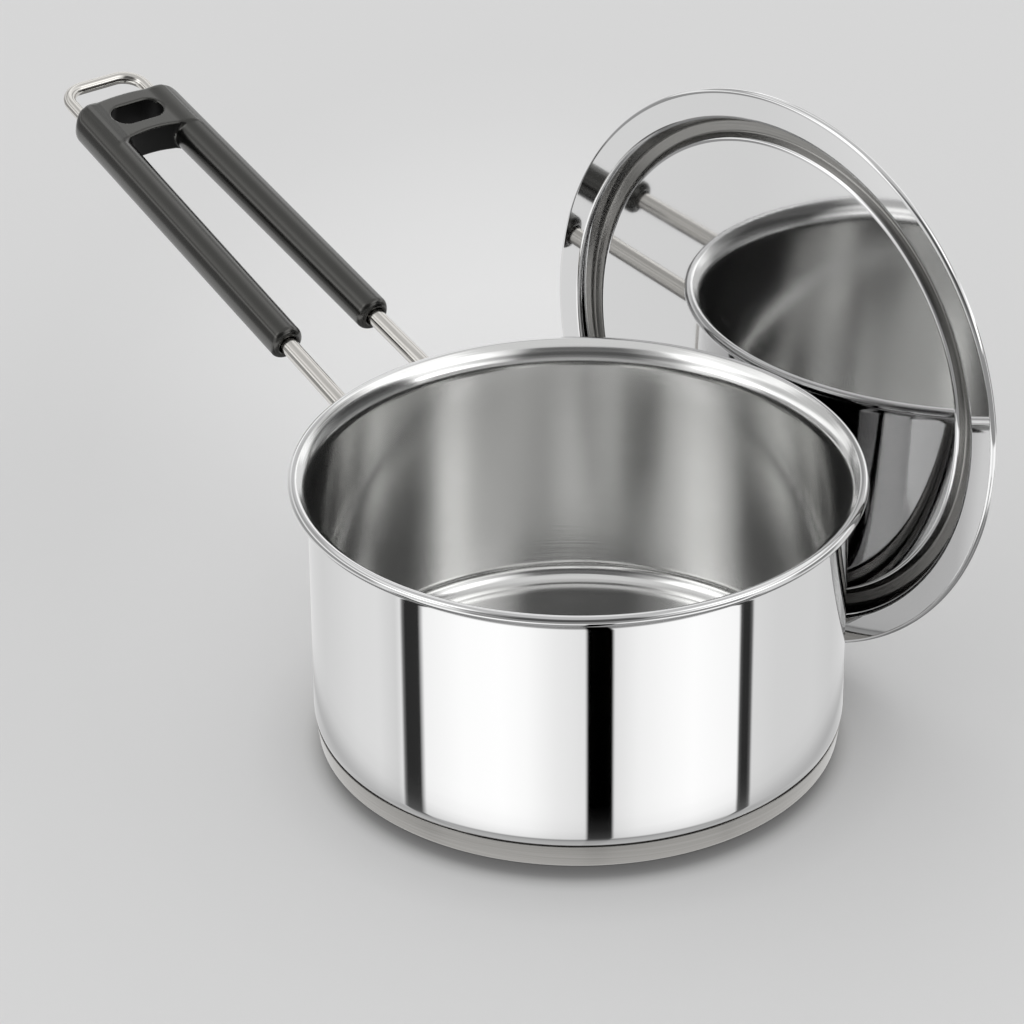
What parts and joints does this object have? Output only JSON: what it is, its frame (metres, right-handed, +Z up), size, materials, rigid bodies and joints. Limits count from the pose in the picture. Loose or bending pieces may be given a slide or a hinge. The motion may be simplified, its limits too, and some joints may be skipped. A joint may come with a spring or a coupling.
{
  "type": "milk pan",
  "caption": "Straight-sided steel milk pan with a thick base, a bent wire handle in a moulded two-rod grip, and a loose flat lid standing on its edge beside it.",
  "frame": {"origin": "centre of the underside of the base, on the surface that the pan stands on", "axes": "+Z up along the pan's axis; the handle points along -X and rises as it leaves the wall; the lid stands on its edge on the +Y side"},
  "size_m": [0.3604, 0.1887, 0.1803],
  "materials": {
    "polished_steel": "mirror outside, satin inside",
    "core_aluminium": "plain",
    "capsule_steel": "polished",
    "wire_steel": "polished",
    "weld_steel": "ground",
    "grip_plastic": "gloss",
    "lid_steel": "mirror"
  },
  "bodies": {
    "pan": {"pan_shell": "polished_steel", "base_core": "core_aluminium", "base_capsule": "capsule_steel", "handle_wire": "wire_steel", "leg_weld_left": "weld_steel", "leg_weld_right": "weld_steel", "handle_grip": "grip_plastic"},
    "lid": {"lid": "lid_steel"}
  },
  "joints": [
    {"name": "lid_lift", "type": "slide", "parent": "pan", "child": "lid", "axis": [-0.1143, 0.6978, 0.7071], "range_m": [0, 0.12]}
  ]
}
